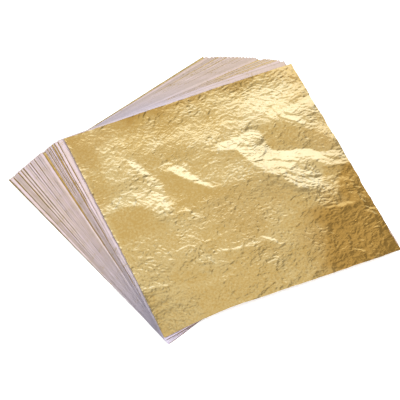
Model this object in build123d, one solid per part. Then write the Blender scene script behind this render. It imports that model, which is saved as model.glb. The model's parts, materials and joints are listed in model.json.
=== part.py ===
import os
from build123d import *

# A pack of gold-coloured metal leaves, each lying on its own interleaving tissue, fanned about one corner.
# The origin is the centre of the lowest tissue's underside, with +Z up and that tissue's sides along X and Y.
# The fan turns about the lowest tissue's near corner, where X and Y are lowest. Each pair of a tissue and its
# leaf leans a little more to the right than the pair below it. It turns about a line that leans half as much,
# so the pairs stay clear of one another from closed to wide open.

# The sheets, in millimetres
leaf_side = 140.0
# How far a tissue is cut larger than its leaf, on each side
tissue_margin = 0.5
# Each thickness is the space that a lightly crinkled sheet fills, which is more than its bare stuff
tissue_thickness = 0.05
leaf_thickness = 0.03
# The air between a tissue and the leaf that clings to it
leaf_clearance = 0.02
# The air between a leaf and the next pair up, if it were spread evenly
pair_air = 0.12
# The air at three corners of the top tissue, as shares of that, because most of it has got in at the left
air_near_share = 0.56
air_right_share = 0.18
air_left_share = 2.40

# How far the top tissue has swung clockwise from the lowest one, in degrees
fan_swing = 13.6
# How far the top tissue's near corner has crept from the lowest one's, in millimetres
corner_creep_right = -0.75
corner_creep_back = 3.35

# How far a hand-laid sheet may be out of square with its pair, in degrees, and off its middle, in millimetres
largest_skew = 1.5
largest_shift = 1.5

# One row for each tissue with its leaf, from the lowest pair up. The first share is of the swing and the
# creep, the next two are the tissue's and the leaf's share of the largest skew, counterclockwise, and the
# last two are the leaf's shares of the largest shift, to the right and to the back.
pair_shares = [
    (0.000, 0.00, 0.45, -0.10, 0.50),
    (0.004, 0.20, -0.20, 0.05, -0.30),
    (0.055, 0.00, -0.43, 0.20, -0.17),
    (0.092, -0.03, -0.37, 0.12, -0.25),
    (0.129, 0.02, -0.05, 0.05, 0.05),
    (0.169, 0.00, -0.23, 0.07, -0.05),
    (0.228, 0.04, -0.16, 0.06, 0.00),
    (0.279, 0.00, -0.47, 0.10, -0.22),
    (0.327, -0.04, -0.26, 0.10, -0.03),
    (0.386, 0.03, -0.10, 0.05, 0.04),
    (0.426, 0.00, -0.50, 0.20, -0.18),
    (0.467, 0.03, -0.13, 0.10, -0.05),
    (0.507, 0.00, -0.50, 0.26, -0.14),
    (0.548, -0.03, -0.18, 0.07, -0.04),
    (0.588, 0.00, -0.47, 0.18, -0.16),
    (0.625, 0.03, -0.42, 0.00, -0.30),
    (0.735, 0.00, -0.33, 0.16, -0.15),
    (0.761, 0.03, -0.02, 0.03, 0.15),
    (0.787, -0.02, -0.33, 0.20, -0.10),
    (0.816, 0.00, -0.01, 0.00, 0.25),
    (0.842, 0.04, -0.40, 0.22, -0.16),
    (0.871, 0.00, 0.00, -0.20, 0.15),
    (0.897, -0.03, -0.07, 0.02, 0.06),
    (0.934, 0.00, -0.33, 0.05, -0.22),
    (1.000, 0.00, -0.90, -0.10, -0.30),
]

# Worked out from the sizes above
tissue_side = leaf_side + 2 * tissue_margin
near_corner = Vector(-tissue_side / 2, -tissue_side / 2)
leaf_rise = tissue_thickness + leaf_clearance
pair_thickness = leaf_rise + leaf_thickness


def sheet(side, thickness, corner, underside, angle):
    """A flat square sheet, turned about its own near corner."""
    plate = Box(side, side, thickness, align=(Align.MIN, Align.MIN, Align.MIN))
    return Pos(corner.X, corner.Y, underside) * Rot(0, 0, angle) * plate


def leaning(pairs_below):
    """The plane that a pair lies on, with its origin over the lowest tissue's near corner."""
    air = pairs_below * pair_air
    rise_to_right = air * (air_right_share - air_near_share) / tissue_side
    rise_to_left = air * (air_left_share - air_near_share) / tissue_side
    rise = Vector(rise_to_right, rise_to_left).rotate(Axis.Z, -fan_swing)
    height = pairs_below * pair_thickness + air * air_near_share
    origin = near_corner + Vector(0, 0, height)
    return Plane(origin=origin, x_dir=Vector(1, 0, rise.X), z_dir=Vector(-rise.X, -rise.Y, 1))


def pair(number, fan_share, tissue_skew_share, leaf_skew_share, right_share, back_share):
    """A tissue and the leaf that lies on it, where the fan has carried them."""
    swung = -fan_swing * fan_share
    tissue_corner = Vector(corner_creep_right, corner_creep_back) * fan_share
    shift = Vector(right_share, back_share) * largest_shift
    leaf_corner = tissue_corner + (Vector(tissue_margin, tissue_margin) + shift).rotate(Axis.Z, swung)
    tissue_angle = swung + tissue_skew_share * largest_skew
    leaf_angle = swung + leaf_skew_share * largest_skew
    place = leaning(number - 1).location
    tissue = place * sheet(tissue_side, tissue_thickness, tissue_corner, 0, tissue_angle)
    leaf = place * sheet(leaf_side, leaf_thickness, leaf_corner, leaf_rise, leaf_angle)
    return {f"tissue_{number:02d}": tissue, f"leaf_{number:02d}": leaf}


parts = {}
for number, row in enumerate(pair_shares, start=1):
    parts.update(pair(number, *row))

os.makedirs("parts", exist_ok=True)
for name, solid in parts.items():
    export_step(solid, f"parts/{name}.step")
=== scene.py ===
"""A square pack of gold-coloured metal leaf, interleaved with mauve tissue and fanned about one corner."""
import json
import math

import bpy
import numpy as np
from mathutils import Matrix, Vector


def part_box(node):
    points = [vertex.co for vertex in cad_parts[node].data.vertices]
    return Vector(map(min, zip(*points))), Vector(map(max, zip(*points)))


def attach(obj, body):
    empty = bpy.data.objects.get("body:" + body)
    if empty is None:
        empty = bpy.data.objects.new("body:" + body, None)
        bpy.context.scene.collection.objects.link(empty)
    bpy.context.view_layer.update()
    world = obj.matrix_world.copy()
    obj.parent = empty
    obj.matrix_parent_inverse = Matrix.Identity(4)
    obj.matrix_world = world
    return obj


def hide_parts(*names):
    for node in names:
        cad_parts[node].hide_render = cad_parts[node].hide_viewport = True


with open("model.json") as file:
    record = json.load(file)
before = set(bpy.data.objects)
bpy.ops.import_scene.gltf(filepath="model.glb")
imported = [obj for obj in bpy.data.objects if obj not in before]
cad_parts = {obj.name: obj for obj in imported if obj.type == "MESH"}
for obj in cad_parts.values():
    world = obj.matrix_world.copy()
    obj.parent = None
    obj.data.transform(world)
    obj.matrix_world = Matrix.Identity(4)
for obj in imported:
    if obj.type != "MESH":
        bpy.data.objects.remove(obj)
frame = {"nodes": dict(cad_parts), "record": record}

bl_info = {
    "name": "Metal Leaf Pack",
    "version": (1, 0, 0),
    "blender": (4, 5, 0),
    "location": "3D View > Sidebar > Leaf Pack",
    "description": "Dresses a fanned pack of metal leaf and interleaving tissue over its packed frame",
    "category": "Object",
}

LEAVES = sorted(name for name in frame["nodes"] if name.startswith("leaf_"))
TISSUES = sorted(name for name in frame["nodes"] if name.startswith("tissue_"))
TOP_LEAF = LEAVES[-1]
BODY_OF = {node: body for body, nodes in frame["record"]["behaviour"]["bodies"].items() for node in nodes}
MM = 0.001


# Where the flat plates of the frame lie

def plate(node):
    """The near corner, turn, side and the levels over the fan's pivot of one flat plate of the frame."""
    points = np.array([vertex.co[:] for vertex in frame["nodes"][node].data.vertices])
    middle = points.mean(axis=0)
    square_to = np.linalg.svd(points - middle)[2][2]
    square_to = square_to * np.sign(square_to[2])
    height = (points - middle) @ square_to
    corners = np.unique(points[height < 0].round(7), axis=0)
    pivot = np.array(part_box(TISSUES[0])[0][:2])
    away = np.linalg.norm(corners[:, :2] - pivot, axis=1)
    near = corners[away.argmin()]
    arms = corners - near
    reach = np.linalg.norm(arms, axis=1)
    sides = arms[(reach > 0.5 * reach.max()) & (reach < 0.9 * reach.max())]
    right = sides[np.arctan2(sides[:, 1], sides[:, 0]).argmin()]
    over_pivot = middle[2] - (pivot - middle[:2]) @ square_to[:2] / square_to[2]
    return {
        "corner x": float(near[0]), "corner y": float(near[1]), "turn": math.atan2(right[1], right[0]),
        "side": float(np.linalg.norm(right)), "bottom": float(over_pivot + height.min()),
        "top": float(over_pivot + height.max()),
    }


def placed(name, data):
    """A new object in the scene."""
    obj = bpy.data.objects.new(name, data)
    bpy.context.collection.objects.link(obj)
    return obj


# Settings that a user would change

def number_prop(name, description, default, **kind):
    return bpy.props.FloatProperty(name=name, description=description, default=default, **kind)


def length_prop(name, description, default):
    return number_prop(name, description, default, unit="LENGTH", precision=5)


def share_prop(name, description, default):
    return number_prop(name, description, default, subtype="FACTOR")


def angle_prop(name, description, degrees):
    return number_prop(name, description, math.radians(degrees), subtype="ANGLE")


def whole_prop(name, description, default, **limits):
    return bpy.props.IntProperty(name=name, description=description, default=default, **limits)


def vector_prop(name, description, default, **kind):
    return bpy.props.FloatVectorProperty(name=name, description=description, default=default, size=3, **kind)


def colour_prop(name, description, default):
    return vector_prop(name, description, default, subtype="COLOR", min=0, max=1)


class LeafPackSheets(bpy.types.PropertyGroup):
    """Sizes of the sheets, and the shape that they all lie on."""
    leaf_thickness: length_prop("Leaf thickness", "Thickness drawn for a leaf", 0.016 * MM)
    tissue_thickness: length_prop("Tissue thickness", "Thickness drawn for a tissue", 0.03 * MM)
    cells: whole_prop("Cells", "Rows and columns of faces on an ordinary sheet", 58, min=8, max=90)
    ragged_top: length_prop("Ragged top leaf", "How far the bare leaf's edges draw in", 0.45 * MM)
    ragged_leaf: length_prop("Ragged leaf edge", "How far a leaf's edge may draw in", 0.25 * MM)
    ragged_tissue: length_prop("Uneven tissue edge", "How far a tissue's edge may draw in", 0.45 * MM)
    front_bow: length_prop("Front bow", "How far the front edges bow in over the arch", 1.7 * MM)
    curl: length_prop("Curl", "How far a sheet's own curls rise", 0.004 * MM)
    lift_near: share_prop("Lift, near corner", "Its height over the frame's at the near corner", 0.68)
    lift_right: share_prop("Lift, right corner", "Its height over the frame's at the near corner", 0.73)
    lift_back: share_prop("Lift, back corner", "Its height over the frame's at the near corner", 1.64)
    lift_left: share_prop("Lift, left corner", "Its height over the frame's at the near corner", 2.29)
    arch: share_prop("Arch", "How far the pack arches up by its near corner", 0.42)
    arch_place: share_prop("Arch place", "Where the arch is highest, as a share of the leaf's side", 0.28)
    sag_right: share_prop("Sag, right corner", "How much it sags below the slope that leads to it", 0.42)
    sag_back: share_prop("Sag, back corner", "How much it sags below the slope that leads to it", 0.34)
    waviness: share_prop("Waviness", "Shared waviness of the sheets, as a share of their height", 0.005)
    tone_seed: whole_prop("Tone seed", "Picks other tones for the sheets", 3)


class LeafPackFolds(bpy.types.PropertyGroup):
    """Folds and crinkles of the bare leaf on top."""
    fold_tilt: angle_prop("Fold tilt", "Slope of a fold whose strength is one", 6.0)
    fold_reach: length_prop("Fold reach", "Length over which the folds settle back to the sheet", 15 * MM)
    facet_height: length_prop("Facet height", "Height of the broad crumpled facets", 0.058 * MM)
    crinkle_height: length_prop("Crinkle height", "Height of the small crinkles", 0.080 * MM)
    crease_height: length_prop("Crease height", "Height of the thin creases", 0.042 * MM)
    long_crease_height: length_prop("Long crease height", "Height of the long creases", 0.09 * MM)
    pleat_width: length_prop("Pleat width", "Width of the small pleats inside a fold", 9.0 * MM)
    pleat_share: number_prop("Pleat share", "Tilt of the pleats as a share of the fold's", 0.14)
    clearance: length_prop("Clearance", "Least air kept over the tissue", 0.03 * MM)
    seed: whole_prop("Seed", "Picks another pattern of crinkles", 7)


class LeafPackColours(bpy.types.PropertyGroup):
    """Colours of the metal, the tissue and the floor."""
    gold: colour_prop("Gold", "The smooth metal", (0.595, 0.393, 0.124))
    # Pale gold is also the painted highlight on the bare leaf's folds.
    pale_gold: colour_prop("Pale gold", "The crinkled metal", (0.722, 0.548, 0.248))
    # Deep gold is also the painted shade where the bare leaf turns down and along the lower leaves' edges.
    deep_gold: colour_prop("Deep gold", "The thin and handled places", (0.500, 0.290, 0.070))
    # Edge gold is partly wear and partly the painted shade along the lower leaves' edges.
    edge_gold: colour_prop("Edge gold", "The worn edges of the lower leaves", (0.270, 0.178, 0.050))
    mauve: colour_prop("Mauve", "The tissue", (0.760, 0.610, 0.630))
    # The warm tint is also part of the painted shade along the tissues' edges.
    warm: colour_prop("Warm tint", "The tissue where metal has rubbed off on it", (0.740, 0.580, 0.470))
    # Lavender is also the painted cool shade by the near corner.
    lavender: colour_prop("Lavender", "The tissue by the near corner", (0.660, 0.630, 0.770))
    fleck: colour_prop("Fleck", "The specks of leaf that cling to a tissue", (0.560, 0.400, 0.180))
    floor: colour_prop("Floor", "The floor", (0.90, 0.90, 0.90))


class LeafPackStage(bpy.types.PropertyGroup):
    """Camera and light."""
    eye: vector_prop("Camera", "Where the camera stands", (-0.51695, -0.64485, 1.10412), subtype="XYZ_LENGTH")
    looks: vector_prop(
        "Looks", "Direction that the camera looks in", (0.3771, 0.4635, -0.8018), subtype="DIRECTION")
    to_right: vector_prop(
        "Right", "Direction to the right in the picture", (0.7779, -0.6284, 0.0026), subtype="DIRECTION")
    lens: number_prop("Lens", "Focal length in millimetres", 225.0, subtype="DISTANCE_CAMERA")
    key: number_prop("Key", "Brightness of the large soft box", 1.75)
    key_roll: angle_prop("Key roll", "Roll of the large soft box", 18)
    main: number_prop("Main", "Brightness of the box at the right", 4.8)
    side: number_prop("Side boxes", "Brightness of the soft boxes round the object", 1.2)
    ambient: number_prop("Ambient", "Light from all round on matt things", 0.64)
    zenith: number_prop("Zenith", "How bright gloss sees the sky straight up", 0.60)
    west: number_prop("Left side", "How bright gloss sees the left side", 0.55)
    flag: number_prop("Dark side", "How bright gloss sees the dark side", 0.42)


SETTINGS = {
    "leaf_pack_sheets": LeafPackSheets,
    "leaf_pack_folds": LeafPackFolds,
    "leaf_pack_colours": LeafPackColours,
    "leaf_pack_stage": LeafPackStage,
}


# Formulas that hold both for arrays and for node trees

class Field:
    """A number at every point, made of Math nodes, so that a formula in a node tree reads as a formula."""

    def __init__(self, tree, socket):
        self.tree = tree
        self.socket = socket

    def apply(self, operation, *others):
        node = new_node(self.tree, "ShaderNodeMath", dict(enumerate((self, *others))), operation=operation)
        return Field(self.tree, node.outputs[0])

    def clipped(self):
        """The same, kept between nought and one."""
        return self.apply("MAXIMUM", 0.0).apply("MINIMUM", 1.0)

    def __add__(self, other):
        return self.apply("ADD", other)

    def __sub__(self, other):
        return self.apply("SUBTRACT", other)

    def __mul__(self, other):
        return self.apply("MULTIPLY", other)

    def __truediv__(self, other):
        return self.apply("DIVIDE", other)

    def __rsub__(self, other):
        return (self * -1) + other

    __radd__ = __add__
    __rmul__ = __mul__


def for_both(operation, on_array):
    """One function for Fields and for arrays."""
    return lambda value: value.apply(operation) if isinstance(value, Field) else on_array(value)


sine = for_both("SINE", np.sin)
cosine = for_both("COSINE", np.cos)
exponent = for_both("EXPONENT", np.exp)
root = for_both("SQRT", np.sqrt)


def swell(away):
    """A rise to one and a slow fall."""
    rise = away * exponent(1 - away)
    return rise * rise


def ramp(value, low, high):
    """Nought below a low value and one above a high one, with a straight run between."""
    return ((value - low) / (high - low)).clipped()


# Ripples that all the sheets share: (waves to the right, waves to the back, start), in radians to a side
RIPPLES = [(21.0, 6.0, 1.0), (-9.0, 25.0, 2.3), (13.0, 35.0, 0.0)]


def labelled(label, numbers):
    """The same numbers, named as the node tree's inputs are."""
    return {f"{label} {name}": value for name, value in numbers.items()}


def pack_shape(settings):
    """The settings, and where the pack's top plate lies, under the names of the node tree's inputs."""
    names = LeafPackSheets.__annotations__
    shape = {name.replace("_", " ").capitalize(): getattr(settings, name) for name in names}
    return {**shape, **labelled("Pack", plate(TOP_LEAF))}


def pack_lift(x, y, shape):
    """How high the sheets stand at a place, as a share of their height at the fan's pivot in the frame."""
    along = cosine(shape["Pack turn"])
    across = sine(shape["Pack turn"])
    east = x - shape["Pack corner x"]
    north = y - shape["Pack corner y"]
    u = (east * along + north * across) / shape["Pack side"]
    v = (north * along - east * across) / shape["Pack side"]
    near = shape["Lift near"]
    left = shape["Lift left"]
    right = shape["Lift right"] + shape["Sag right"]
    back = shape["Lift back"] + shape["Sag back"]
    spread = near + (right - near) * u + (left - near) * v + (back - right - left + near) * u * v
    to_right = u * (1 - v)
    to_back = u * v
    spread = spread - shape["Sag right"] * to_right * to_right * to_right
    spread = spread - shape["Sag back"] * to_back * to_back * to_back
    away = root(u * u + v * v) / shape["Arch place"]
    ripple = sum(sine(u * to_u + v * to_v + start) for to_u, to_v, start in RIPPLES)
    return (spread + shape["Arch"] * swell(away)) * (1 + shape["Waviness"] * ripple)


# Node trees

def plug(tree, value, entry):
    """Feeds an input with a Field, an output or a constant."""
    value = value.socket if isinstance(value, Field) else value
    if isinstance(value, bpy.types.NodeSocket):
        tree.links.new(value, entry)
    else:
        entry.default_value = value


def new_node(tree, kind, feeds=None, **settings):
    """A node with its settings, and what feeds its inputs by their names or places."""
    node = tree.nodes.new(kind)
    for name, value in settings.items():
        setattr(node, name, value)
    for name, value in (feeds or {}).items():
        plug(tree, value, node.inputs[name])
    return node


def noise(tree, vector, scale, detail=2.0, feeds=None, **settings):
    """Noise from nought to one at a vector."""
    feeds = {"Vector": vector, "Scale": scale, "Detail": detail, **(feeds or {})}
    node = new_node(tree, "ShaderNodeTexNoise", feeds, noise_dimensions="3D", **settings)
    return Field(tree, node.outputs[0])


def joined(tree, *parts):
    """A vector of up to three Fields or numbers."""
    return new_node(tree, "ShaderNodeCombineXYZ", dict(enumerate(parts))).outputs[0]


def split(tree, vector):
    """The three parts of a vector, as Fields."""
    return [Field(tree, part) for part in new_node(tree, "ShaderNodeSeparateXYZ", {0: vector}).outputs]


# How far apart in the noise the four edges of a sheet are read
EDGES_APART = 7.3


def sheet_tree(name):
    """One thin sheet, laid at its corner, turn and level on the shared shape of the pack."""
    tree = bpy.data.node_groups.new(name, "GeometryNodeTree")
    face = tree.interface
    face.new_socket("Geometry", in_out="OUTPUT", socket_type="NodeSocketGeometry")
    numbers = [
        "Sheet side", "Sheet corner x", "Sheet corner y", "Sheet turn", "Level", "Thickness", "Ragged edge",
        "Edge grain", "Edge seed", "Tone", "Pack side", "Pack corner x", "Pack corner y", "Pack turn",
        "Lift near", "Lift right", "Lift back", "Lift left", "Sag right", "Sag back", "Arch", "Arch place",
        "Front bow", "Waviness", "Curl",
    ]
    face.new_socket("Cells", in_out="INPUT", socket_type="NodeSocketInt")
    for label in numbers:
        face.new_socket(label, in_out="INPUT", socket_type="NodeSocketFloat")
    face.new_socket("Finish", in_out="INPUT", socket_type="NodeSocketMaterial")
    entry = new_node(tree, "NodeGroupInput")
    value = {label: Field(tree, entry.outputs[label]) for label in numbers}

    cells = Field(tree, entry.outputs["Cells"]) + 1
    block = new_node(tree, "GeometryNodeMeshCube", {
        "Size": (1, 1, 1), "Vertices X": cells, "Vertices Y": cells, "Vertices Z": 2})
    east, north, w = split(tree, new_node(tree, "GeometryNodeInputPosition").outputs[0])
    s = east + 0.5
    t = north + 0.5

    def then(before, kind, feeds=None, **settings):
        """The next node that the geometry goes through."""
        return new_node(tree, kind, {"Geometry": before.outputs[0], **(feeds or {})}, **settings)

    mapped = then(
        block, "GeometryNodeStoreNamedAttribute", {"Name": "UVMap", "Value": joined(tree, s, t)},
        data_type="FLOAT2", domain="CORNER")

    def drawn_in(along, edge):
        """How far the edge has drawn in at a place along it, as a share of the side."""
        spot = joined(tree, along * value["Edge grain"], edge * EDGES_APART, value["Edge seed"])
        drawn = (noise(tree, spot, 1.0, 3.0, {"Roughness": 0.62}) - 0.3).apply("MAXIMUM", 0.0) * 2.0
        return drawn * value["Ragged edge"] / value["Sheet side"]

    left = drawn_in(t, 1)
    right = drawn_in(t, 2)
    front = drawn_in(s, 3) + swell(s / value["Arch place"]) * value["Front bow"] / value["Sheet side"]
    back = drawn_in(s, 4)
    s_in = (left + s * (1 - left - right)) * value["Sheet side"]
    t_in = (front + t * (1 - front - back)) * value["Sheet side"]
    along = cosine(value["Sheet turn"])
    across = sine(value["Sheet turn"])
    x = value["Sheet corner x"] + s_in * along - t_in * across
    y = value["Sheet corner y"] + s_in * across + t_in * along
    own = sine(s * 31.0 + value["Edge seed"] * 1.7) * sine(t * 27.0 + value["Edge seed"] * 2.9)
    z = value["Level"] * pack_lift(x, y, value) + value["Curl"] * own + w * value["Thickness"]
    laid = then(mapped, "GeometryNodeSetPosition", {"Position": joined(tree, x, y, z)})

    wall_angle = 1.0
    angle = new_node(tree, "GeometryNodeInputMeshEdgeAngle").outputs["Unsigned Angle"]
    sharp = Field(tree, angle).apply("GREATER_THAN", wall_angle)
    soft = then(laid, "GeometryNodeSetShadeSmooth", domain="FACE")
    hard = then(
        soft, "GeometryNodeSetShadeSmooth", {"Selection": sharp, "Shade Smooth": False}, domain="EDGE")
    toned = then(
        hard, "GeometryNodeStoreNamedAttribute", {"Name": "tone", "Value": value["Tone"]}, data_type="FLOAT",
        domain="POINT")
    real = then(toned, "GeometryNodeRealizeInstances")
    finish = then(real, "GeometryNodeSetMaterial", {"Material": entry.outputs["Finish"]})
    then(finish, "NodeGroupOutput")
    return tree


def laid_sheet(name, node, settings, inputs):
    """Makes one ordinary sheet in place of its flat plate, with the tree's inputs set by identifier."""
    spot = plate(node)
    obj = placed(name, bpy.data.meshes.new(name))
    modifier = obj.modifiers.new("Laid sheet", "NODES")
    modifier.node_group = shared("Laid sheet", sheet_tree)
    level = (spot["bottom"] + spot["top"]) / 2
    values = {**pack_shape(settings), **labelled("Sheet", spot), "Level": level, **inputs}
    for item in modifier.node_group.interface.items_tree:
        if item.item_type == "SOCKET" and item.in_out == "INPUT":
            modifier[item.identifier] = values[item.name]
    whole = obj.evaluated_get(bpy.context.evaluated_depsgraph_get())
    mesh = bpy.data.meshes.new_from_object(whole)
    obj.modifiers.remove(modifier)
    obj.data = mesh
    mesh.name = name
    return obj


# Materials

def shared(name, build):
    """A node tree that is built once."""
    return bpy.data.node_groups.get(name) or build(name)


def new_group(name, inputs, outputs):
    """A shader node group. Its inputs are numbers with their defaults, and vectors where there is none."""
    group = bpy.data.node_groups.new(name, "ShaderNodeTree")
    for label, default in inputs.items():
        kind = "NodeSocketVector" if default is None else "NodeSocketFloat"
        entry = group.interface.new_socket(label, in_out="INPUT", socket_type=kind)
        if default is not None:
            entry.default_value = default
    for label in outputs:
        group.interface.new_socket(label, in_out="OUTPUT", socket_type="NodeSocketFloat")
    return group, group.nodes.new("NodeGroupInput"), group.nodes.new("NodeGroupOutput")


def new_material(name, constants):
    """A material with its tree and its shader, whose own constants are set."""
    material = bpy.data.materials.new(name)
    material.use_nodes = True
    shader = material.node_tree.nodes["Principled BSDF"]
    for label, value in constants.items():
        shader.inputs[label].default_value = value
    return material, material.node_tree, shader


def attribute(tree, name):
    """A number stored on the mesh."""
    return Field(tree, new_node(tree, "ShaderNodeAttribute", attribute_name=name).outputs["Fac"])


def blend(tree, first, colour, share):
    """A colour or an output, with a share of another colour mixed in."""
    first = first if isinstance(first, bpy.types.NodeSocket) else (*first, 1)
    feeds = {"A": first, "B": (*colour, 1), "Factor": share}
    return new_node(tree, "ShaderNodeMix", feeds, data_type="RGBA").outputs["Result"]


def add_bump(tree, shader, height, strength, distance):
    """Bumps a shader's surface by a height."""
    bump = new_node(tree, "ShaderNodeBump", {"Height": height, "Strength": strength, "Distance": distance})
    plug(tree, bump.outputs["Normal"], shader.inputs["Normal"])


def crinkle_group(name):
    """Fine crinkles of beaten metal: a height, and a mask that is high where the metal is crinkled."""
    group, entry, out = new_group(
        name, {"Vector": None, "Crinkles per metre": 520.0}, ["Height", "Crinkled"])
    place = entry.outputs["Vector"]
    turned = new_node(group, "ShaderNodeMapping", {
        "Vector": place, "Rotation": (0, 0, 0.62), "Scale": (1.0, 1.7, 1.0)})
    bend = new_node(group, "ShaderNodeTexNoise", {"Vector": place, "Scale": 60.0}, noise_dimensions="3D")
    shift = new_node(
        group, "ShaderNodeVectorMath", {
            0: bend.outputs["Color"], 1: (0.006, 0.006, 0.0), 2: turned.outputs["Vector"]},
        operation="MULTIPLY_ADD")
    ridges = noise(
        group, shift.outputs[0], entry.outputs["Crinkles per metre"], noise_type="RIDGED_MULTIFRACTAL")
    grain = noise(group, place, 1500.0)
    spread = new_node(group, "ShaderNodeMapRange", {
        "Value": noise(group, place, 32.0, 3.0), "From Min": 0.40, "From Max": 0.62})
    crinkled = Field(group, spread.outputs["Result"])
    plug(group, crinkled, out.inputs["Crinkled"])
    plug(group, (ridges * 0.62 + grain * 0.20) * (crinkled * 0.7 + 0.3), out.inputs["Height"])
    return group


def edge_group(name):
    """Worn and shaded borders of a sheet: a mask that is high along its edges, from a map that runs from 0 to
    1. It paints both wear and the shade between the sheets.
    """
    group, entry, out = new_group(
        name, {"Place": None, "Width": 0.003, "Unevenness": 0.5}, ["Border", "Stray"])
    least_width = 0.0002
    s, t, _ = split(group, entry.outputs["Place"])
    inner = s.apply("MINIMUM", 1 - s).apply("MINIMUM", t.apply("MINIMUM", 1 - t))
    stray = noise(group, entry.outputs["Place"], 22.0, 4.0)
    uneven = (stray - 0.5) * Field(group, entry.outputs["Unevenness"]) * 4
    width = Field(group, entry.outputs["Width"]) * (uneven + 1).apply("MAXIMUM", 0.0)
    plug(group, (1 - inner / (width + least_width)).clipped(), out.inputs["Border"])
    plug(group, stray, out.inputs["Stray"])
    return group


def worn_and_shaded_edge(tree, width, unevenness):
    """The map of a sheet, its worn border with painted shade, and its stray patches."""
    sheet_map = new_node(tree, "ShaderNodeUVMap", uv_map="UVMap").outputs["UV"]
    feeds = {"Place": sheet_map, "Width": width, "Unevenness": unevenness}
    edge = new_node(tree, "ShaderNodeGroup", feeds, node_tree=shared("Worn and shaded border", edge_group))
    return sheet_map, Field(tree, edge.outputs["Border"]), Field(tree, edge.outputs["Stray"])


def metal_material(name, colours, hero):
    """Thin metal leaf: smooth places deeper, crinkled places paler, with a broken-up gloss, painted
    highlights and painted shade.
    """
    material, tree, shader = new_material(name, {"Metallic": 1.0})
    place = new_node(tree, "ShaderNodeTexCoord").outputs["Object"]
    group = shared("Beaten crinkle", crinkle_group)
    crinkle = new_node(tree, "ShaderNodeGroup", {"Vector": place}, node_tree=group)
    speckle = noise(tree, place, 820.0, 3.0) - 0.5
    handled = new_node(tree, "ShaderNodeMapRange", {
        "Value": noise(tree, place, 16.0, 4.0), "From Min": 0.52, "From Max": 0.80, "To Max": 0.6})
    shade = Field(tree, handled.outputs["Result"])
    crinkled = attribute(tree, "crinkled") if hero else Field(tree, crinkle.outputs["Crinkled"])
    pale = crinkled * 0.40 + speckle * 2.0 + 0.12
    if hero:
        # The folds that face the soft box are painted paler gold: a painted highlight.
        pale = pale + attribute(tree, "bright") * 0.45
        # Where the leaf turns down it is painted deep gold: a painted shade.
        shade = shade + attribute(tree, "deep") * 2.8
    else:
        # The border is darkened partly for wear and partly as painted shade between the sheets.
        border = worn_and_shaded_edge(tree, 0.005, 0.8)[1]
        own = attribute(tree, "tone")
        shade = shade + own * 0.6 + border * 0.8
    metal = blend(tree, colours.gold, colours.pale_gold, pale.clipped())
    metal = blend(tree, metal, colours.deep_gold, shade.apply("MINIMUM", 1.0))
    if not hero:
        # Edges dulled to edge gold, partly wear and partly painted shade; the lowest leaf, whose tone is one,
        # is dulled all over.
        dull = (border * 1.1 + speckle * 2.2) * (own * 0.6 + 0.4) + own.apply("POWER", 6.0) * 0.45
        metal = blend(tree, metal, colours.edge_gold, dull.apply("MINIMUM", 0.92).apply("MAXIMUM", 0.0))
    plug(tree, metal, shader.inputs["Base Color"])
    plug(tree, crinkled * 0.05 + speckle * 0.10 + 0.11, shader.inputs["Roughness"])
    add_bump(tree, shader, crinkle.outputs["Height"], 0.55 if hero else 0.8, 0.22 * MM)
    return material


def tissue_material(colours):
    """Soft mauve tissue with fibres, faint clouds, clinging specks and a warm rub-off of metal, warmer and
    darker towards the back edge, with painted shade along its edges, painted light by the front corner and
    painted cool shade by the near corner.
    """
    material, tree, shader = new_material("Mauve interleaving tissue", {
        "Roughness": 0.62, "Specular IOR Level": 0.25, "Sheen Weight": 0.12, "Sheen Roughness": 0.5})
    place = new_node(tree, "ShaderNodeTexCoord").outputs["Object"]
    apart = new_node(tree, "ShaderNodeMapping", {"Vector": place, "Scale": (1.0, 1.0, 60.0)}).outputs[0]
    clouds = noise(tree, apart, 38.0, 5.0, {"Roughness": 0.6})
    fibre = noise(tree, apart, 900.0, 4.0, {"Distortion": 1.2})
    dots = noise(tree, apart, 520.0, 1.0)
    sheet_map, border, stray = worn_and_shaded_edge(tree, 0.006, 0.6)
    tone = attribute(tree, "tone")
    s, t, _ = split(tree, sheet_map)
    s_off = s - 0.35
    t_off = t - 1.0
    # Lighter by the front corner: painted light.
    front = exponent(s * s * -12.0 - t * t * 500.0)
    # Warmer and darker towards the back edge.
    back = exponent(t_off * t_off * -150.0) * s
    # Painted shade along the edges, partly wear, left off by the front corner.
    shaded_worn_rim = border * (1 - front)
    # The warm tint holds the rub-off, the painted shade along the edges and the warmer back edge.
    rubbed = (clouds - 0.5) * 1.8 + tone * 0.9 + shaded_worn_rim * 0.7 + back * 0.6
    # A cool lavender by the near corner is painted shade; a second lavender patch lies by the back edge.
    lavender_and_cool_shade = exponent((s * s * 6.0 + t * t) * -7.0) * 0.85
    lavender_and_cool_shade = lavender_and_cool_shade + exponent(s_off * s_off * -12.0 - t_off * t_off * 200.0) * 0.6
    flecks = ((dots - 0.60) * 14).clipped() * ((stray - 0.50) * 9).clipped() * 0.75
    paper = blend(tree, colours.mauve, colours.warm, rubbed.clipped())
    paper = blend(tree, paper, colours.lavender, lavender_and_cool_shade)
    paper = blend(tree, paper, colours.fleck, flecks)
    grain = (fibre - 0.5) * 0.30 + 1.0
    # Darker along the edges as painted shade, lighter by the front corner as painted light, darker towards
    # the back edge.
    grain = grain * (1.06 - tone * 0.16) * (1 - shaded_worn_rim * 0.22) * (1 + front * 0.16) * (1 - back * 0.15)
    shade = new_node(tree, "ShaderNodeVectorMath", {0: paper, "Scale": grain}, operation="SCALE")
    plug(tree, shade.outputs[0], shader.inputs["Base Color"])
    add_bump(tree, shader, fibre, 0.35, 0.08 * MM)
    return material
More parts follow.
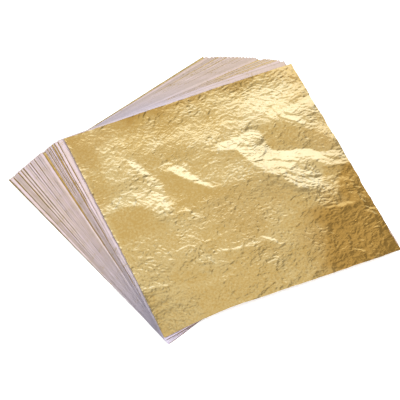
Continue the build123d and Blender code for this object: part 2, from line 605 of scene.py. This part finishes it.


# The bare leaf on top

# Folds of the leaf, each a closed outline in shares of its side, from the near corner to the right and to
# the back: (strength, softness of its edge, points). A positive strength faces the soft box.
# The strengths are also painted on the bare leaf as paler gold, a painted highlight.
FOLDS = [
    (1.85, .008, [(.53, .695), (.56, .735), (.64, .74), (.71, .755), (.735, .735), (.735, .66), (.75, .62),
        (.8, .6), (.87, .585), (.9, .55), (.89, .5), (.88, .45), (.85, .41), (.82, .395), (.76, .41),
        (.73, .46), (.7, .505), (.665, .535), (.645, .58), (.625, .64), (.61, .68), (.57, .7)]),
    (1.9, .006, [(.88, .585), (.905, .555), (.93, .535), (1.02, .54), (1.02, .45), (.95, .46), (.91, .465),
        (.88, .49)]),
    (1.3, .012, [(.73, .47), (.78, .5), (.88, .5), (.86, .42), (.82, .385), (.76, .405)]),
    (.8, .04, [(.62, .76), (.63, .84), (.7, .83), (.76, .86), (.86, .85), (.93, .76), (.9, .7),
        (.84, .74), (.74, .75)]),
    (.22, .02, [(.57, .9), (.58, .945), (.66, .965), (.8, .955), (.91, .935), (.96, .91), (1.02, .86),
        (1.02, .78), (.91, .8), (.85, .845), (.76, .875), (.7, .86), (.64, .87)]),
    (-.6, .03, [(.28, .86), (.28, 1.02), (.9, 1.02), (.9, .93), (.7, .9), (.5, .87)]),
    (.35, .02, [(.66, .46), (.69, .51), (.74, .46), (.82, .395), (.88, .4), (.9, .36), (.8, .33),
        (.7, .38)]),
    (.8, .004, [(-.01, .04), (-.01, .96), (.008, .96), (.008, .04)]),
    (.9, .025, [(1.02, .84), (1.02, .55), (.98, .56), (.965, .62), (.93, .66), (.88, .7), (.86, .76),
        (.91, .8)]),
    (.7, .01, [(.755, .09), (.785, .2), (.8, .235), (.81, .23), (.8, .19), (.775, .09)]),
    (1.8, .005, [(.855, .268), (.865, .285), (.905, .288), (.925, .28), (.92, .272), (.88, .27)]),
    (1.8, .004, [(.95, .226), (.97, .216), (.99, .192), (.985, .183), (.965, .205)]),
    (1.6, .004, [(.96, .238), (1, .217), (1, .205), (.96, .228)]),
    (1.4, .005, [(.96, .3), (.98, .29), (.972, .25), (.965, .255)]),
    (1.5, .006, [(.8, .085), (.815, .095), (.835, .125), (.84, .148), (.848, .14), (.838, .1),
        (.82, .07)]),
    (1, .006, [(.84, .105), (.87, .15), (.895, .2), (.905, .2), (.88, .15), (.85, .105)]),
    (1.5, .005, [(.955, .1), (.98, .135), (.99, .14), (.985, .125), (.965, .1)]),
    (1.2, .005, [(.83, .075), (.85, .062), (.87, .045), (.865, .038), (.845, .05)]),
    (1, .006, [(.885, .03), (.91, .05), (.935, .055), (.93, .045), (.91, .04)]),
    (1, .005, [(.905, .425), (.915, .41), (.94, .402), (.945, .395), (.91, .4)]),
    (.9, .004, [(.93, .398), (.965, .372), (.96, .366), (.93, .388)]),
    (1.15, .012, [(.19, .8), (.21, .81), (.24, .74), (.262, .68), (.266, .62), (.258, .56), (.245, .5),
        (.205, .49), (.2, .54), (.225, .6), (.222, .68), (.205, .74)]),
    (.9, .014, [(.02, .6), (.02, .64), (.08, .66), (.15, .68), (.22, .68), (.24, .6), (.19, .55),
        (.12, .595)]),
    (1.3, .008, [(.315, .7), (.36, .71), (.405, .7), (.4, .65), (.415, .61), (.455, .545), (.445, .545),
        (.39, .6), (.35, .645)]),
    (.8, .006, [(.27, .72), (.27, .73), (.34, .735), (.4, .73), (.4, .722)]),
    (.9, .006, [(.3, .49), (.315, .5), (.35, .435), (.34, .43)]),
    (.9, .008, [(.22, .245), (.3, .265), (.325, .205), (.31, .2), (.29, .24)]),
    (1.1, .008, [(.34, .26), (.42, .25), (.5, .255), (.55, .26), (.58, .215), (.565, .21), (.53, .24),
        (.46, .235), (.4, .24)]),
    (.6, .012, [(0, .25), (.06, .225), (.12, .2), (.06, .195), (0, .21)]),
    (.4, .02, [(.05, .17), (.2, .165), (.34, .15), (.3, .125), (.15, .13)]),
    (.4, .03, [(.07, .7), (.09, .94), (.22, .96), (.21, .82), (.2, .72)]),
    (.18, .03, [(.4, .8), (.44, .96), (.56, .96), (.56, .9), (.5, .8)]),
]

# Long creases, as open lines in the same shares: (strength, width, points)
CREASES = [
    (.8, .007, [(.97, .36), (.95, .29), (.925, .25)]),
    (.8, .007, [(.89, .31), (.9, .364), (.885, .4)]),
    (.7, .007, [(.71, .01), (.716, .06), (.74, .107)]),
    (.6, .006, [(0, .215), (.05, .207), (.1, .196), (.16, .2)]),
    (.6, .006, [(.455, .545), (.49, .535), (.53, .525), (.6, .535)]),
    (.6, .006, [(.59, .3), (.6, .24), (.585, .2)]),
]

# Places where the leaf turns down to the right, given like the folds, with a torn edge
# Their share is also painted on the leaf as deep gold, a painted shade.
DROOPS = [
    (.27, .09, [(.66, -.03), (.68, .08), (.7, .2), (.74, .275), (.85, .295), (.93, .31), (1.03, .42),
        (1.03, -.03)]),
    (.17, .08, [(.72, -.03), (.75, .08), (.76, .2), (.78, .29), (.865, .37), (.93, .425), (1.03, .455),
        (1.03, -.03)]),
    (.12, .05, [(-.03, .82), (-.03, 1.03), (.36, 1.03), (.26, .95), (.12, .9), (.07, .82)]),
    (.16, .02, [(.22, 1.03), (.25, .985), (.6, .972), (.9, .962), (.95, .92), (1.03, .88), (1.03, 1.03)]),
]

# One that is below the bright fold at the right, with a crisp edge
# It too is painted on the leaf as deep gold, a painted shade.
CRISP_DROOPS = [
    (.2, .015, [(.9, .33), (.93, .41), (.97, .445), (1.03, .458), (1.03, .22), (.95, .27)]),
]

# Places where the leaf lies smooth, given in the same way
SMOOTH = [
    (.8, .02, [(.01, .44), (.01, .58), (.1, .6), (.17, .57), (.19, .5), (.19, .44)]),
    (.9, .02, [(.27, .5), (.27, .69), (.33, .68), (.44, .55), (.5, .5), (.4, .5)]),
    (.7, .02, [(.22, .7), (.2, .99), (.28, .99), (.3, .74), (.27, .66)]),
    (.5, .02, [(.5, .84), (.53, .89), (.6, .89), (.63, .83), (.56, .82)]),
    (.5, .03, [(0, .85), (0, 1), (.1, 1), (.09, .86)]),
    (.1, .05, [(0, 0), (0, .16), (.3, .14), (.4, 0)]),
    (.3, .04, [(.35, .3), (.4, .42), (.6, .42), (.62, .3)]),
]

# Places where the leaf is crinkled more, given in the same way
ROUGH = [
    (.6, .06, [(.48, .28), (.49, .5), (.68, .5), (.72, .3)]),
    (.6, .06, [(0, .28), (0, .43), (.16, .44), (.2, .3)]),
    (.3, .06, [(.74, .02), (.76, .2), (.86, .33), (1, .42), (1, 0)]),
    (.4, .03, [(.72, .42), (.74, .52), (.88, .5), (.86, .4)]),
    (.4, .03, [(.17, .48), (.18, .82), (.28, .82), (.28, .48)]),
    (.12, .06, [(0, 0), (0, .17), (.3, .17), (.34, 0)]),
    (.5, .05, [(.45, .88), (.47, 1), (1, 1), (1, .84), (.8, .86)]),
]


def distances(u, v, runs):
    """How far each place is from the nearest of some straight runs, each given by its two ends."""
    nearest = np.full(u.shape, np.inf)
    for (ax, ay), (bx, by) in runs:
        length = (bx - ax) ** 2 + (by - ay) ** 2
        along = np.clip(((u - ax) * (bx - ax) + (v - ay) * (by - ay)) / length, 0, 1)
        nearest = np.minimum(nearest, np.hypot(u - ax - along * (bx - ax), v - ay - along * (by - ay)))
    return nearest


def line_share(u, v, points, width):
    """One along an open line of points, and nought away from it."""
    return np.exp(-(distances(u, v, zip(points, points[1:])) / width) ** 2)


def outline_share(u, v, points, softness):
    """One inside a closed outline and nought outside, with a soft edge."""
    runs = list(zip(points, points[1:] + points[:1]))
    inside = np.zeros(u.shape, bool)
    for (ax, ay), (bx, by) in runs:
        across = (ay > v) != (by > v)
        with np.errstate(divide="ignore", invalid="ignore"):
            inside ^= across & (u < (bx - ax) * (v - ay) / (by - ay) + ax)
    away = distances(u, v, runs)
    share = np.clip(np.where(inside, away, -away) / softness * 0.5 + 0.5, 0, 1)
    return share * share * (3 - 2 * share)


def each_share(rows, u, v):
    """The share of each outline of a table, times its strength."""
    return [strength * outline_share(u, v, points, softness) for strength, softness, points in rows]


def smooth_noise(x, y, seed):
    """Gradient noise from about -1 to 1, one swell to each unit of x and y."""
    count = 1024
    chance = np.random.default_rng(seed)
    table = chance.permutation(count)
    angle = chance.uniform(0, 2 * np.pi, count)
    column = np.floor(x).astype(int)
    row = np.floor(y).astype(int)
    fx = x - column
    fy = y - row
    total = np.zeros(x.shape)
    ease_x = fx ** 3 * (fx * (fx * 6 - 15) + 10)
    ease_y = fy ** 3 * (fy * (fy * 6 - 15) + 10)
    for i in (0, 1):
        for j in (0, 1):
            pick = angle[table[(table[(column + i) % count] + row + j) % count]]
            reach = np.cos(pick) * (fx - i) + np.sin(pick) * (fy - j)
            total += reach * (ease_x if i else 1 - ease_x) * (ease_y if j else 1 - ease_y)
    return total * 1.5


def settled_heights(slope_u, slope_v, step, reach):
    """Heights whose slopes come nearest to those asked for, and that settle back within a reach."""
    def mirrored(field, sign_u, sign_v):
        wide = np.concatenate([field, sign_u * field[:, ::-1]], axis=1)
        return np.concatenate([wide, sign_v * wide[::-1]], axis=0)
    across = np.fft.fft2(mirrored(slope_u, -1, 1))
    along = np.fft.fft2(mirrored(slope_v, 1, -1))
    rows, columns = across.shape
    k_u = 2 * np.pi * np.fft.fftfreq(columns, step)[None, :]
    k_v = 2 * np.pi * np.fft.fftfreq(rows, step)[:, None]
    swing = k_u ** 2 + k_v ** 2 + (1 / reach) ** 2
    heights = np.fft.ifft2((-1j * k_u * across - 1j * k_v * along) / swing).real
    return heights[: rows // 2, : columns // 2]


def edges_levelled(field):
    """The field with its smoothed edges brought to nought, and the change spread over all of it."""
    def calm(edge):
        reach = 15
        window = 2 * reach + 1
        padded = np.pad(edge, reach, mode="edge")
        return np.convolve(padded, np.ones(window) / window, mode="valid")
    v, u = np.meshgrid(np.linspace(0, 1, field.shape[0]), np.linspace(0, 1, field.shape[1]), indexing="ij")
    left = calm(field[:, 0])[:, None]
    right = calm(field[:, -1])[:, None]
    front = calm(field[0])[None, :]
    back = calm(field[-1])[None, :]
    corners = ((1 - u) * (1 - v) * front[0, 0] + u * (1 - v) * front[0, -1]
               + (1 - u) * v * back[0, 0] + u * v * back[0, -1])
    return field - ((1 - u) * left + u * right + (1 - v) * front + v * back - corners)


def waves(x, y, *rows):
    """Smooth noise of several sizes: (length in millimetres, height, seed)."""
    return sum(height * smooth_noise(x / length, y / length, seed) for length, height, seed in rows)


def crumple(x, y, angle, long, short, seed):
    """Ridges of crumpled metal in two sets, the finer one fainter. All lengths are in millimetres."""
    a = x * math.cos(angle) + y * math.sin(angle)
    b = y * math.cos(angle) - x * math.sin(angle)
    coarse = 1 - 2 * np.abs(smooth_noise(a / long, b / short, seed))
    finer = 1 - 2 * np.abs(smooth_noise(a / (long * 0.55), b / (short * 0.60), seed + 1))
    return coarse + 0.55 * finer


def creases(x, y, size, width, seed):
    """Thin raised lines that wander over the sheet."""
    return np.exp(-(smooth_noise(x / size, y / size, seed) / width) ** 2)


def top_leaf_relief(u, v, side, folds):
    """Heights of the bare leaf over its tissue, and how crinkled, turned down and tilted it is."""
    x = u * side / MM
    y = v * side / MM
    seed = folds.seed
    tilt = sum(each_share(FOLDS, u, v))
    torn_u = u + waves(x, y, (11, 0.030, seed + 7), (4, 0.012, 5))
    torn_v = v + waves(x, y, (11, 0.030, seed + 8), (4, 0.012, 6))
    droop = sum(each_share(DROOPS, torn_u, torn_v)) + sum(each_share(CRISP_DROOPS, u, v))
    loose = 1 - np.max(each_share(SMOOTH, u, v), axis=0)
    slope = np.tan(folds.fold_tilt)
    unit = slope * math.sqrt(0.5)
    step = side / (u.shape[1] - 1)
    broad = settled_heights(unit * (-tilt - droop), unit * (-tilt + droop), step, folds.fold_reach)
    broad = edges_levelled(broad)

    seeds_apart = 100
    seed = folds.seed * seeds_apart
    turns = (x + y) * math.sqrt(0.5) / (folds.pleat_width / MM)
    turns += waves(x, y, (24, 1.3, seed + 90), (7, 0.30, seed + 91), (2.5, 0.10, seed + 92))
    within = turns - np.floor(turns)
    fall = 0.78
    deepest_fold = 1.3
    tooth = np.where(within < fall, fall / 2 - within, (within - fall) / (1 - fall) * fall - fall / 2)
    pleated = folds.pleat_width * slope * np.clip(tilt, 0, deepest_fold) * folds.pleat_share * tooth

    wander_x = x + waves(x, y, (13, 2.6, seed), (4.5, 0.9, seed + 1))
    wander_y = y + waves(x, y, (13, 2.6, seed + 2), (4.5, 0.9, seed + 3))
    patchy = np.clip(0.8 + waves(x, y, (22, 1.1, seed + 50), (8, 0.5, seed + 51)), 0.50, 1.4)
    crinkled = np.clip(patchy * loose + np.max(each_share(ROUGH, u, v), axis=0), 0.10, 1.5)
    facets = crumple(wander_x, wander_y, 0.5, 17, 8, seed + 10)
    across = crumple(wander_x, wander_y, -0.80, 4.2, 1.7, seed + 20)
    along = crumple(wander_x, wander_y, -0.10, 3.4, 1.6, seed + 30)
    share = np.clip(0.5 + waves(x, y, (28, 1.0, seed + 60)), 0, 1)
    lines = creases(wander_x, wander_y, 15, 0.05, seed + 70) + 0.7 * creases(x, y, 9, 0.07, seed + 71)
    fine = folds.facet_height * facets * (0.4 + 0.6 * loose)
    fine += folds.crinkle_height * crinkled * (across * share + along * (1 - share))
    fine += folds.crease_height * lines * (0.35 + 0.65 * loose)
    bent_u = u + waves(x, y, (6, 0.012, seed + 80))
    bent_v = v + waves(x, y, (6, 0.012, seed + 81))
    for strength, width, points in CREASES:
        fine += folds.long_crease_height * strength * line_share(bent_u, bent_v, points, width)
    return broad + pleated + fine, crinkled, droop, tilt


def ragged(along, side, amount, seed):
    """How far a torn edge has drawn in, as a share of the side."""
    place = along * side / MM
    rise = waves(place, place * 0, (17, 1.0, seed), (5, 0.6, seed + 1), (1.6, 0.4, seed + 2))
    corners = np.clip(np.minimum(along, 1 - along) * 25, 0, 1)
    return np.clip(0.35 + rise * 0.6, 0, 1.2) * corners * amount / side


def top_leaf_mesh(name, settings, folds):
    """A closed shell: a fine upper face, a coarser lower face and a wall round its edge."""
    spot = plate(TOP_LEAF)
    side = spot["side"]
    fine = 300
    coarse = 60
    stride = fine // coarse
    share = np.linspace(0, 1, fine + 1)
    u, v = np.meshgrid(share, share)
    height, crinkled, deep, bright = top_leaf_relief(u, v, side, folds)
    left = ragged(v, side, settings.ragged_top, 11)
    right = ragged(v, side, settings.ragged_top * 2, 12)
    front = ragged(u, side, settings.ragged_top, 13)
    front = front + swell(u / settings.arch_place) * settings.front_bow / side
    back = ragged(u, side, settings.ragged_top, 14)
    across = (left + u * (1 - left - right)) * side
    along = (front + v * (1 - front - back)) * side
    c = math.cos(spot["turn"])
    s = math.sin(spot["turn"])
    x = spot["corner x"] + across * c - along * s
    y = spot["corner y"] + across * s + along * c
    lift = pack_lift(x, y, pack_shape(settings))
    padded = np.pad(height, stride, mode="edge")
    low = np.min([padded[i:i + fine + 1, j:j + fine + 1]
                  for i in range(0, 2 * stride + 1, 2) for j in range(0, 2 * stride + 1, 2)], axis=0)
    rise = -low.min() + folds.clearance + settings.leaf_thickness
    upper = spot["bottom"] * lift + height + rise
    lower = (spot["bottom"] * lift + low + rise - settings.leaf_thickness)[::stride, ::stride]

    def ring(index):
        """The four sides of a face, one after the other."""
        return index[0, :], index[:, -1], index[-1, ::-1], index[::-1, 0]

    top_index = np.arange(upper.size).reshape(upper.shape)
    low_index = upper.size + np.arange(lower.size).reshape(lower.shape)
    points = np.concatenate([
        np.stack([x, y, upper], axis=-1).reshape(-1, 3),
        np.stack([x[::stride, ::stride], y[::stride, ::stride], lower], axis=-1).reshape(-1, 3)])
    a = top_index
    b = low_index
    top_faces = np.stack([a[:-1, :-1], a[:-1, 1:], a[1:, 1:], a[1:, :-1]], axis=-1)
    low_faces = np.stack([b[:-1, :-1], b[1:, :-1], b[1:, 1:], b[:-1, 1:]], axis=-1)
    faces = top_faces.reshape(-1, 4).tolist() + low_faces.reshape(-1, 4).tolist()
    smooth_faces = len(faces)
    for upper_rim, lower_rim in zip(ring(top_index), ring(low_index)):
        for k in range(coarse):
            over = upper_rim[k * stride:(k + 1) * stride + 1].tolist()
            faces.append([*lower_rim[k:k + 2].tolist(), *over[::-1]])
    mesh = bpy.data.meshes.new(name)
    mesh.from_pydata(points.tolist(), [], faces)
    flags = np.zeros(len(faces), bool)
    flags[:smooth_faces] = True
    mesh.polygons.foreach_set("use_smooth", flags)
    # The turned-down share is kept for the painted shade, the fold tilt for the painted highlight.
    for label, field in (("crinkled", crinkled), ("deep", deep), ("bright", bright)):
        mark = mesh.attributes.new(label, "FLOAT", "POINT")
        values = np.concatenate([field.reshape(-1), field[::stride, ::stride].reshape(-1)])
        mark.data.foreach_set("value", values.astype(np.float32))
    rim_points = np.concatenate(ring(top_index) + ring(low_index))
    ends = np.empty(len(mesh.edges) * 2, np.int32)
    mesh.edges.foreach_get("vertices", ends)
    on_rim = np.isin(ends.reshape(-1, 2), rim_points).all(axis=1)
    mesh.edges.foreach_set("use_edge_sharp", on_rim)
    mesh.validate()
    mesh.update()
    return mesh


# Stage

BOX_DISTANCE = 1.5
WHITE = (1.0, 1.0, 1.0)


def soft_box(name, way, size, brightness, tint, roll=0.0):
    """A rectangular lamp that stands off from the origin one way, faces it and is rolled about that line."""
    lamp = bpy.data.lights.new(name, "AREA")
    lamp.shape = "RECTANGLE"
    lamp.size, lamp.size_y = size
    lamp.energy = brightness * math.pi * size[0] * size[1]
    lamp.color = tint
    obj = placed(name, lamp)
    place = Vector(way).normalized() * BOX_DISTANCE
    facing = (-place).to_track_quat("-Z", "Y").to_matrix().to_4x4()
    obj.matrix_world = Matrix.Translation(place) @ facing @ Matrix.Rotation(roll, 4, "Z")


class LEAFPACK_OT_stage(bpy.types.Operator):
    """Build the camera, the soft boxes, the surroundings and the floor"""
    bl_idname = "leaf_pack.stage"
    bl_label = "Stage"

    def execute(self, context):
        stage = context.scene.leaf_pack_stage
        colours = context.scene.leaf_pack_colours
        looks = Vector(stage.looks).normalized()
        right = Vector(stage.to_right)
        right = (right - looks * right.dot(looks)).normalized()
        up = right.cross(looks)
        camera = bpy.data.cameras.new("Camera")
        camera.lens = stage.lens
        camera.sensor_width = 36
        camera.clip_end = 10
        eye = placed("Camera", camera)
        turned = Matrix((right, up, -looks)).transposed().to_4x4()
        eye.matrix_world = Matrix.Translation(Vector(stage.eye)) @ turned
        context.scene.camera = eye

        blue = (0.40, 0.54, 1.0)
        soft_box("Key box", (0.5995, 0.520, 0.640), (1.20, 0.50), stage.key, blue, stage.key_roll)
        soft_box("Main box", (0.55, -0.42, 0.72), (1.0, 1.0), stage.main, (1.0, 0.97, 0.93))
        fills = (("Left box", (-0.9, 0.1, 0.5), 2.3), ("Front box", (-0.3, -0.9, 0.55), 1.8),
                 ("Back box", (-0.3, 0.9, 0.35), 1.0))
        for name, way, share in fills:
            soft_box(name, way, (0.5, 0.5), stage.side * share, WHITE)

        world = bpy.data.worlds.new("Surroundings")
        context.scene.world = world
        world.use_nodes = True
        tree = world.node_tree
        ray = new_node(tree, "ShaderNodeLightPath")
        way = new_node(tree, "ShaderNodeTexCoord")
        east, north, height = split(tree, way.outputs["Generated"])
        ceiling = ramp(height, 0.90, 0.985)
        flag_east = 0.8657
        flag_north = 0.5008
        aside = east * flag_north - north * flag_east
        beyond = east * flag_east + north * flag_north
        flag = ramp(aside, -0.085, -0.015) * (1 - ramp(aside, 0.35, 0.60)) * ramp(beyond, 0.2, 0.4)
        west = ramp(aside * -1, 0.29, 0.38) * (1 - ramp(aside * -1, 0.55, 0.75))
        sky = (1 - ceiling * (1 - stage.zenith)) * (1 - flag * (1 - stage.flag))
        sky = sky * (1 - west * (1 - stage.west))
        seen = Field(tree, ray.outputs["Is Camera Ray"])
        gloss = Field(tree, ray.outputs["Is Glossy Ray"]).apply(
            "MAXIMUM", Field(tree, ray.outputs["Is Transmission Ray"]))
        strength = seen + gloss * sky * (1 - seen) + (1 - seen) * (1 - gloss) * stage.ambient
        backdrop = tree.nodes["Background"]
        plug(tree, strength, backdrop.inputs["Strength"])
        backdrop.inputs["Color"].default_value = (*WHITE, 1)

        mesh = bpy.data.meshes.new("Floor")
        span = 6.0
        drop = -0.1 * MM
        mesh.from_pydata(
            [(-span, -span, drop), (span, -span, drop), (span, span, drop), (-span, span, drop)], [],
            [(0, 1, 2, 3)])
        floor = placed("Floor", mesh)
        material, tree, shader = new_material("White floor", {
            "Base Color": (*colours.floor, 1), "Roughness": 0.8, "Specular IOR Level": 0.0,
            "Emission Color": (*WHITE, 1)})
        ray = new_node(tree, "ShaderNodeLightPath")
        glow = 0.55
        plug(tree, Field(tree, ray.outputs["Is Camera Ray"]) * glow, shader.inputs["Emission Strength"])
        mesh.materials.append(material)
        return {"FINISHED"}


def declare(obj, node):
    """Puts a finished sheet in its node's place: hides the node and attaches the sheet to the node's body."""
    side = plate(node)["side"]
    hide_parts(node)
    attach(obj, BODY_OF[node])


# First seed of the lower leaves' edges, well past those of the tissues
LEAF_SEEDS = 60


class LEAFPACK_OT_tissues(bpy.types.Operator):
    """Build the interleaving tissues, one under each leaf"""
    bl_idname = "leaf_pack.tissues"
    bl_label = "Tissues"

    def execute(self, context):
        settings = context.scene.leaf_pack_sheets
        material = tissue_material(context.scene.leaf_pack_colours)
        tones = np.random.default_rng(settings.tone_seed).uniform(0, 1, len(TISSUES))
        # Upper tissues get lower tones, which paint them lighter against the shade between the sheets.
        tones = tones * np.linspace(1.0, 0.3, len(TISSUES)) - np.linspace(0, 0.3, len(TISSUES))
        tones[-1] = 0.3
        for number, node in enumerate(TISSUES, start=1):
            obj = laid_sheet(f"paper_{number:02d}", node, settings, {
                "Thickness": settings.tissue_thickness, "Ragged edge": settings.ragged_tissue,
                "Edge grain": 9.0, "Edge seed": float(number), "Tone": float(tones[number - 1]),
                "Finish": material})
            declare(obj, node)
        return {"FINISHED"}


class LEAFPACK_OT_lower_leaves(bpy.types.Operator):
    """Build the leaves inside the pack, which show as lines of metal in the fan"""
    bl_idname = "leaf_pack.lower_leaves"
    bl_label = "Lower leaves"

    def execute(self, context):
        settings = context.scene.leaf_pack_sheets
        material = metal_material("Metal leaf in the pack", context.scene.leaf_pack_colours, hero=False)
        tones = np.random.default_rng(settings.tone_seed + 1).uniform(0, 1, len(LEAVES))
        tones[0] = 1.0
        # The upper leaves get less of the deep tone and of the painted edge shade.
        tones[16:] = tones[16:] * 0.25
        for number, node in enumerate(LEAVES[:-1], start=1):
            obj = laid_sheet(f"foil_{number:02d}", node, settings, {
                "Thickness": settings.leaf_thickness, "Ragged edge": settings.ragged_leaf,
                "Edge grain": 34.0, "Edge seed": float(LEAF_SEEDS + number), "Tone": float(tones[number - 1]),
                "Finish": material})
            declare(obj, node)
        return {"FINISHED"}


class LEAFPACK_OT_top_leaf(bpy.types.Operator):
    """Build the bare leaf on top, with its folds and crinkles"""
    bl_idname = "leaf_pack.top_leaf"
    bl_label = "Top leaf"

    def execute(self, context):
        name = f"foil_{len(LEAVES):02d}"
        mesh = top_leaf_mesh(name, context.scene.leaf_pack_sheets, context.scene.leaf_pack_folds)
        mesh.materials.append(metal_material("Bare metal leaf", context.scene.leaf_pack_colours, hero=True))
        obj = placed(name, mesh)
        declare(obj, TOP_LEAF)
        return {"FINISHED"}


class LEAFPACK_PT_panel(bpy.types.Panel):
    """Lists the pieces and their settings"""
    bl_idname = "LEAFPACK_PT_panel"
    bl_label = "Leaf Pack"
    bl_space_type = "VIEW_3D"
    bl_region_type = "UI"
    bl_category = "Leaf Pack"

    def draw(self, context):
        layout = self.layout
        for operator in OPERATORS:
            layout.operator(operator.bl_idname)
        for name, group in SETTINGS.items():
            box = layout.box()
            for entry in group.__annotations__:
                box.prop(getattr(context.scene, name), entry)


OPERATORS = (LEAFPACK_OT_stage, LEAFPACK_OT_tissues, LEAFPACK_OT_lower_leaves, LEAFPACK_OT_top_leaf)


def register():
    for group in SETTINGS.values():
        bpy.utils.register_class(group)
    for name, group in SETTINGS.items():
        setattr(bpy.types.Scene, name, bpy.props.PointerProperty(type=group))
    for operator in OPERATORS:
        bpy.utils.register_class(operator)
    bpy.utils.register_class(LEAFPACK_PT_panel)


def unregister():
    bpy.utils.unregister_class(LEAFPACK_PT_panel)
    for operator in reversed(OPERATORS):
        bpy.utils.unregister_class(operator)
    for name, group in SETTINGS.items():
        delattr(bpy.types.Scene, name)
        bpy.utils.unregister_class(group)


def main():
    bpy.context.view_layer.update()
    register()
    bpy.ops.leaf_pack.stage()
    bpy.ops.leaf_pack.tissues()
    bpy.ops.leaf_pack.lower_leaves()
    bpy.ops.leaf_pack.top_leaf()
    bpy.context.scene.view_settings.view_transform = "Standard"
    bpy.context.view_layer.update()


if __name__ == "__main__":
    main()
